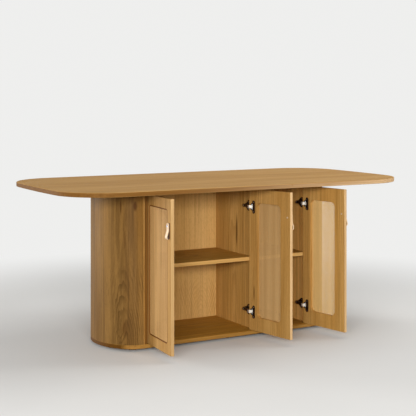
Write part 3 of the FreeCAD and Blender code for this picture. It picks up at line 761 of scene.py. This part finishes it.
def strap_route(low, high):
    """Middle line of the folded strap as (outward, z): down the door, round the fold and up again."""
    half = LEATHER_THICK / 2
    bulge = high.y - low.y
    fold_r = bulge / 2
    fold_z = low.z + fold_r
    merge_z = high.z - STRAP_FLAT
    radius = fold_r - half
    slope = math.atan2(bulge - 2 * LEATHER_THICK, merge_z - fold_z)
    route = [(half, high.z + (fold_z - high.z) * k / RUN_STEPS) for k in range(RUN_STEPS)]
    for k in range(FOLD_STEPS + 1):
        angle = math.pi + (math.pi + slope) * k / FOLD_STEPS
        route.append((fold_r + radius * math.cos(angle), fold_z + radius * math.sin(angle)))
    start, outer = route[-1], 3 * half
    for k in range(1, RUN_STEPS + 1):
        share = k / RUN_STEPS
        ease = share * share * (3 - 2 * share)
        outward = start[0] + (outer - start[0]) * (share + ease) / 2
        route.append((outward, start[1] + (merge_z - start[1]) * share))
    return route + [(outer, merge_z + (high.z - merge_z) * k / 2) for k in (1, 2)]


def strap_section(half_width):
    """Rounded flat section as (across, thickness), from the lining's edge round to the lining again."""
    half = LEATHER_THICK / 2
    corners = ((1, -1, -90.0), (1, 1, 0.0), (-1, 1, 90.0), (-1, -1, 180.0))
    section = []
    for side, face, begin in corners:
        across = side * (half_width - LEATHER_EDGE_R)
        thick = face * (half - LEATHER_EDGE_R)
        for k in range(EDGE_STEPS + 1):
            angle = math.radians(begin + 90.0 * k / EDGE_STEPS)
            section.append((across + LEATHER_EDGE_R * math.cos(angle),
                            thick + LEATHER_EDGE_R * math.sin(angle)))
    return section


def pull(name, materials):
    """Folded leather strap of one door: pale face, dark lining, and cut edges dark on the inner leg, where
    the dark is partly painted shade in and behind the loop.
    """
    space = door_space(name)
    low, high = local_box(name + "_pull_loop", space)
    middle = (low.x + high.x) / 2
    route = strap_route(low, high)
    section = strap_section((high.x - low.x) / 2 - STRAP_SIDE_GAP)
    points, faces, kinds = [], [], []
    for index, (out, z) in enumerate(route):
        before, after = route[max(index - 1, 0)], route[min(index + 1, len(route) - 1)]
        run, rise = after[0] - before[0], after[1] - before[1]
        length = math.hypot(run, rise)
        normal = (rise / length, -run / length)
        for across, thick in section:
            points.append((middle + across, high.y - (out + thick * normal[0]), z + thick * normal[1]))
    ring = len(section)
    face, lining = ring // 2 - 1, ring - 1
    for index in range(len(route) - 1):
        here, ahead = index * ring, (index + 1) * ring
        outer_leg = index >= RUN_STEPS + FOLD_STEPS // 2
        for k in range(ring):
            turn = (k + 1) % ring
            faces.append((here + k, ahead + k, ahead + turn, here + turn))
            # Painted shade: the lining and the inner leg's cut edges take the dark tone
            pale = k == face or outer_leg and k != lining
            kinds.append(0 if pale else 1)
    faces += [tuple(range(ring)), tuple(reversed(range(len(points) - ring, len(points))))]
    kinds += [1, 0]
    piece = add_piece(name + "_leather_pull", points, faces, space, materials, kinds, smooth=True)
    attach(piece, name + "_door")
    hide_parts(name + "_pull_loop")


# Materials on the CAD nodes

def paint(material, *names):
    for name in names:
        slots = nodes[name].data.materials
        slots.clear()
        slots.append(material)


def paint_boards():
    """Tabletop, the two boards of the cabinet, the partition and the back."""
    # The tabletop's edge turns lighter towards the right end as painted light
    paint(oak("oak_top", TOP_TONES, axis="X", across="Y", depth=0.4, tilt=0.03, figure=0.22, seed=1.3,
              edge=TOP_EDGE, edge_mask=rim_faces, edge_end=TOP_EDGE_RIGHT_PAINTED_LIGHT, tick=True, shine=0.05),
          "tabletop")
    paint(oak("oak_case_level", CASE_DARK_AND_SHADED_TONES, axis="X", across="Y", depth=0.2, seed=4.1), "top_board")
    paint(oak("oak_floor", BOTTOM_TONES, axis="X", across="Y", depth=0.2, seed=4.1,
              edge=BOTTOM_EDGE_PAINTED_SHADE, edge_mask=rim_faces, edge_front=BOTTOM_EDGE_FRONT), "bottom_board")
    paint(oak("oak_partition", INSIDE_TONES, across="Y", seed=9.0, knots=PARTITION_KNOTS), "partition")
    paint(oak("oak_back", BACK_TONES_WITH_PAINTED_LIGHT, centre=0.049, depth=0.017, tilt=0.3, spacing=BACK_RING_SPACING,
              figure=0.5, streaks=0.35, lines=0.2, wander=0.02, window=(0.26, 0.16), seed=10.0,
              edge=BACK_REAR, edge_mask=rear_faces), "back_panel")


def paint_side(index, side, sign):
    """Rounded end, upright and shelf on one side of the cabinet."""
    # The end shells' darker tones are partly painted shade
    paint(oak("oak_end_" + side, CASE_DARK_AND_SHADED_TONES, bent=sign, centre=-0.212, depth=0.012, tilt=0.15,
              spacing=END_RING_SPACING, figure=0.6, heart=0.55, waver=0.024, wander=0.05,
              window=(0.44, 0.28), seed=2.0 + index, knots=END_KNOTS), side + "_end_shell")
    # Painted shade: the side panels' front edges take a dark tone
    paint(oak("oak_side_" + side, SIDE_TONES_WITH_PAINTED_LIGHT, across="Y", seed=5.0 + index,
              edge=CASE_EDGE_PAINTED_SHADE, edge_mask=outside_faces), side + "_side_panel")
    # Painted light: the shelf's front edges take a lighter tone
    paint(oak("oak_shelf_" + side, SHELF_TONES, axis="X", across="Y", depth=0.2, seed=7.0 + index,
              edge=SHELF_EDGES_PAINTED_LIGHT[side], edge_mask=front_faces), side + "_shelf")


def paint_door(index, name):
    """Frame and bead of one door."""
    turn = door_turn(name)[0]
    low, high = local_box(name + "_door_frame", Matrix.Rotation(turn, 4, "Z"))
    knots = MIDDLE_DOOR_KNOTS if name == "middle" else ()
    # The doors' edge tones are partly painted light
    paint(oak("oak_door_" + name, DOOR_TONES[name], turn=-turn, seed=12.0 + index, knots=knots,
              edge=DOOR_EDGES_WITH_PAINTED_LIGHT[name], edge_mask=side_faces(low.x, high.x)), name + "_door_frame")
    paint(oak("oak_spline_" + name, BEAD_TONES_WITH_PAINTED_SHADE, turn=-turn, seed=16.0 + index), name + "_door_bead")


def door_canes(name):
    """Cane of the upright and of the level strands of one door."""
    turn = door_turn(name)[0]
    # The right door's lighter cane is painted light
    return [cane(f"cane_{run}_{name}", axis, -turn, CANE_TONES_WITH_PAINTED_LIGHT[name])
            for run, axis in (("upright", "Z"), ("level", "X"))]


paint_boards()
for index, (side, sign) in enumerate(SIDES):
    paint_side(index, side, sign)
paint(plywood("plywood", PLY_TONES, PLY_GRAIN_TONE), "left_end_formers", "right_end_formers")

bronze = metal("dark_bronze", BRONZE_TONES, roughness=(0.28, 0.42), metallic=0.8)
nickel = metal("nickel", NICKEL_TONES, roughness=(0.2, 0.32), metallic=0.6)
stud_steel = metal("stud_steel", STUD_TONES, roughness=(0.22, 0.34))
screw_steel = metal("screw_steel", SCREW_TONES, roughness=(0.45, 0.6), metallic=0.5)
zinc = metal("zinc", ZINC_TONES, roughness=(0.35, 0.5))
leathers = [leather("leather_face", LEATHER_TONES, roughness=(0.45, 0.62)),
            leather("leather_lining_and_shade", LINING_AND_SHADE_TONES, roughness=(0.55, 0.7))]
paint(nickel, "shelf_supports")
paint(zinc, "carcass_screws", "table_screws")
paint(plastic("glide_plastic", PLASTIC_TONES), "glides")

for index, name in enumerate(DOORS):
    paint_door(index, name)
    weave(name, door_canes(name))
    pull(name, leathers)
    paint(bronze, name + "_hinge_cups", name + "_hinge_plates", name + "_hinge_arms")
    paint(nickel, name + "_hinge_links")
    paint(screw_steel, name + "_pull_screw")
    paint(zinc, name + "_hinge_pins", name + "_plate_screws", name + "_cup_screws")
    paint(stud_steel, name + "_pull_stud")


# Floor, lights and camera

def seen_share(tree):
    """1 for rays from the camera, mirrored or through glass too, and 0 for light that spreads."""
    path = tree.nodes.new("ShaderNodeLightPath").outputs
    seen = path["Is Camera Ray"]
    for ray in ("Is Glossy Ray", "Is Transmission Ray"):
        either = tree.nodes.new("ShaderNodeMath")
        either.operation = "MAXIMUM"
        tree.links.new(seen, either.inputs[0])
        tree.links.new(path[ray], either.inputs[1])
        seen = either.outputs[0]
    return seen


def ground(name):
    """Pale matt floor that fades into the background, and throws back less light than it shows."""
    g = Graph(name)
    place = g.place()
    seen = seen_share(g.tree)
    tone, second = (srgb(*tone) for tone in GROUND_TONES)
    shown = g.mix(g.noise(place, GROUND_CLOUD_SCALE, detail=3.0), tone, second)
    colour = g.mix(seen, srgb(*GROUND_BOUNCE), shown)
    g.set(Base_Color=colour, Roughness=GROUND_ROUGHNESS, Specular_IOR_Level=GROUND_SHINE)
    away = g.add("ShaderNodeVectorMath", {0: place}, out="Value", operation="LENGTH")
    share = g.math("MULTIPLY", g.span(away, *GROUND_FADE), seen)
    glow = g.add("ShaderNodeEmission", {"Color": (*BACKGROUND, 1.0), "Strength": 1.0})
    blend = g.add("ShaderNodeMixShader", {0: share, 1: g.shader.outputs[0], 2: glow})
    g.tree.links.new(blend, g.tree.nodes["Material Output"].inputs[0])
    return g.material


def add_floor():
    half = GROUND_SIZE / 2
    corners = [(-half, -half, 0.0), (half, -half, 0.0), (half, half, 0.0), (-half, half, 0.0)]
    mesh = bpy.data.meshes.new("floor")
    mesh.from_pydata(corners, [], [(0, 1, 2, 3)])
    mesh.materials.append(ground("floor"))
    floor = bpy.data.objects.new("floor", mesh)
    bpy.context.scene.collection.objects.link(floor)


def add_world():
    """Weak even light, behind which the camera sees the background."""
    world = bpy.data.worlds.new("studio")
    bpy.context.scene.world = world
    world.use_nodes = True
    tree = world.node_tree
    light = tree.nodes["Background"]
    light.inputs["Color"].default_value = (1.0, 1.0, 1.0, 1.0)
    light.inputs["Strength"].default_value = WORLD_STRENGTH
    backdrop = tree.nodes.new("ShaderNodeBackground")
    backdrop.inputs["Color"].default_value = (*BACKGROUND, 1.0)
    blend = tree.nodes.new("ShaderNodeMixShader")
    for place, source in enumerate((seen_share(tree), light.outputs[0], backdrop.outputs[0])):
        tree.links.new(source, blend.inputs[place])
    tree.links.new(blend.outputs[0], tree.nodes["World Output"].inputs[0])


def add_lamp(lamp):
    data = bpy.data.lights.new(lamp.name, "AREA")
    data.shape = "RECTANGLE"
    data.size, data.size_y = lamp.size
    data.energy = lamp.watts
    made = bpy.data.objects.new(lamp.name, data)
    made.location = lamp.place
    made.rotation_euler = (Vector(lamp.target) - Vector(lamp.place)).to_track_quat("-Z", "Y").to_euler()
    bpy.context.scene.collection.objects.link(made)


def add_camera():
    """Level camera, whose lens is shifted down to the table."""
    data = bpy.data.cameras.new("camera")
    data.sensor_width = SENSOR_MM
    data.lens = FOCAL_PX / IMAGE_PX * SENSOR_MM
    data.shift_y = (HORIZON_PX - IMAGE_PX / 2) / IMAGE_PX
    camera = bpy.data.objects.new("camera", data)
    camera.location = CAMERA_AT
    camera.rotation_euler = (math.radians(UPRIGHT_DEG), 0.0, math.radians(-YAW_DEG))
    bpy.context.scene.collection.objects.link(camera)
    bpy.context.scene.camera = camera


add_floor()
add_world()
for lamp in LAMPS:
    add_lamp(lamp)
add_camera()
bpy.context.scene.view_settings.view_transform = "Standard"
